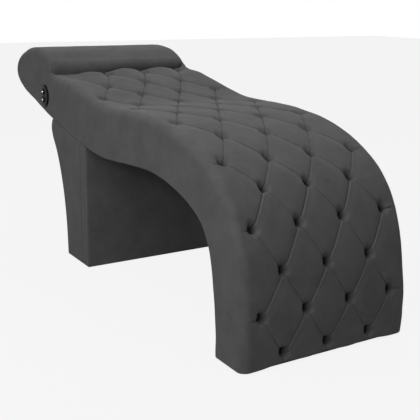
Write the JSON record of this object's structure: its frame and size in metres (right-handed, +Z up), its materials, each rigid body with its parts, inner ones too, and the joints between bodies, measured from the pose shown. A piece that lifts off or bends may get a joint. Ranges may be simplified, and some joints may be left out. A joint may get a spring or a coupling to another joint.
{
  "type": "eyelash extension bed",
  "caption": "Wave-shaped tufted treatment bed with a headrest roll, standing on its own curved foot and a pedestal, with a push-button massage control.",
  "frame": {"origin": "on the floor, under the middle of the bed's box", "axes": "+Z up, +Y towards the head end, X across the bed with the massage control on the -X side"},
  "size_m": [0.6081, 1.7989, 0.8002],
  "materials": {
    "suede_fabric": "dark grey brushed suede cloth over foam",
    "hardboard": "raw bent hardboard",
    "plywood": "raw plywood",
    "pine": "raw planed pine",
    "dust_cloth": "black non-woven cloth",
    "zinc_steel": "zinc-plated steel",
    "spring_steel": "bare spring wire",
    "black_plastic": "glossy black moulding",
    "dark_plastic": "matt black moulding",
    "lead_rubber": "black round lead"
  },
  "bodies": {
    "bed": {"tufted_pad": "suede_fabric", "headrest_roll": "suede_fabric", "side_pad_left": "suede_fabric", "side_pad_right": "suede_fabric", "under_cover": "suede_fabric", "top_deck": "hardboard", "under_deck": "hardboard", "rib_left": "plywood", "rib_centre": "plywood", "rib_right": "plywood", "head_rail": "plywood", "foot_base_board": "plywood", "foot_dust_cover": "dust_cloth", "top_batten_1": "pine", "top_batten_2": "pine", "top_batten_3": "pine", "top_batten_4": "pine", "top_batten_5": "pine", "bottom_batten_1": "pine", "bottom_batten_2": "pine", "bolt_rail_1": "pine", "bolt_rail_2": "pine", "pedestal_front_cover": "suede_fabric", "pedestal_back_cover": "suede_fabric", "pedestal_side_cover_left": "suede_fabric", "pedestal_side_cover_right": "suede_fabric", "pedestal_front_panel": "plywood", "pedestal_back_panel": "plywood", "pedestal_side_panel_left": "plywood", "pedestal_side_panel_right": "plywood", "pedestal_top_board": "plywood", "pedestal_base_rail_front": "pine", "pedestal_base_rail_back": "pine", "pedestal_corner_block_left": "pine", "pedestal_corner_block_right": "pine", "pedestal_dust_cover": "dust_cloth", "pedestal_bolt_1": "zinc_steel", "pedestal_bolt_2": "zinc_steel", "pedestal_bolt_3": "zinc_steel", "pedestal_bolt_4": "zinc_steel", "foot_glide_left": "dark_plastic", "foot_glide_right": "dark_plastic", "pedestal_glide_front_left": "dark_plastic", "pedestal_glide_front_right": "dark_plastic", "pedestal_glide_back_left": "dark_plastic", "pedestal_glide_back_right": "dark_plastic", "control_plate": "black_plastic", "switch_housing": "dark_plastic", "spring_upper": "spring_steel", "spring_lower": "spring_steel", "massage_driver_box": "dark_plastic", "massage_motor_back": "dark_plastic", "massage_motor_hip": "dark_plastic", "power_inlet": "black_plastic", "switch_lead": "lead_rubber", "motor_back_lead": "lead_rubber", "motor_hip_lead": "lead_rubber", "inlet_lead": "lead_rubber"},
    "upper_button": {"button_upper": "black_plastic"},
    "lower_button": {"button_lower": "black_plastic"}
  },
  "joints": [
    {"name": "button_upper_press", "type": "slide", "parent": "bed", "child": "upper_button", "axis": [1, 0, 0], "range_m": [0, 0.002], "stiffness_N_per_m": 1500, "deforming": ["spring_upper"]},
    {"name": "button_lower_press", "type": "slide", "parent": "bed", "child": "lower_button", "axis": [1, 0, 0], "range_m": [0, 0.002], "stiffness_N_per_m": 1500, "deforming": ["spring_lower"]}
  ]
}
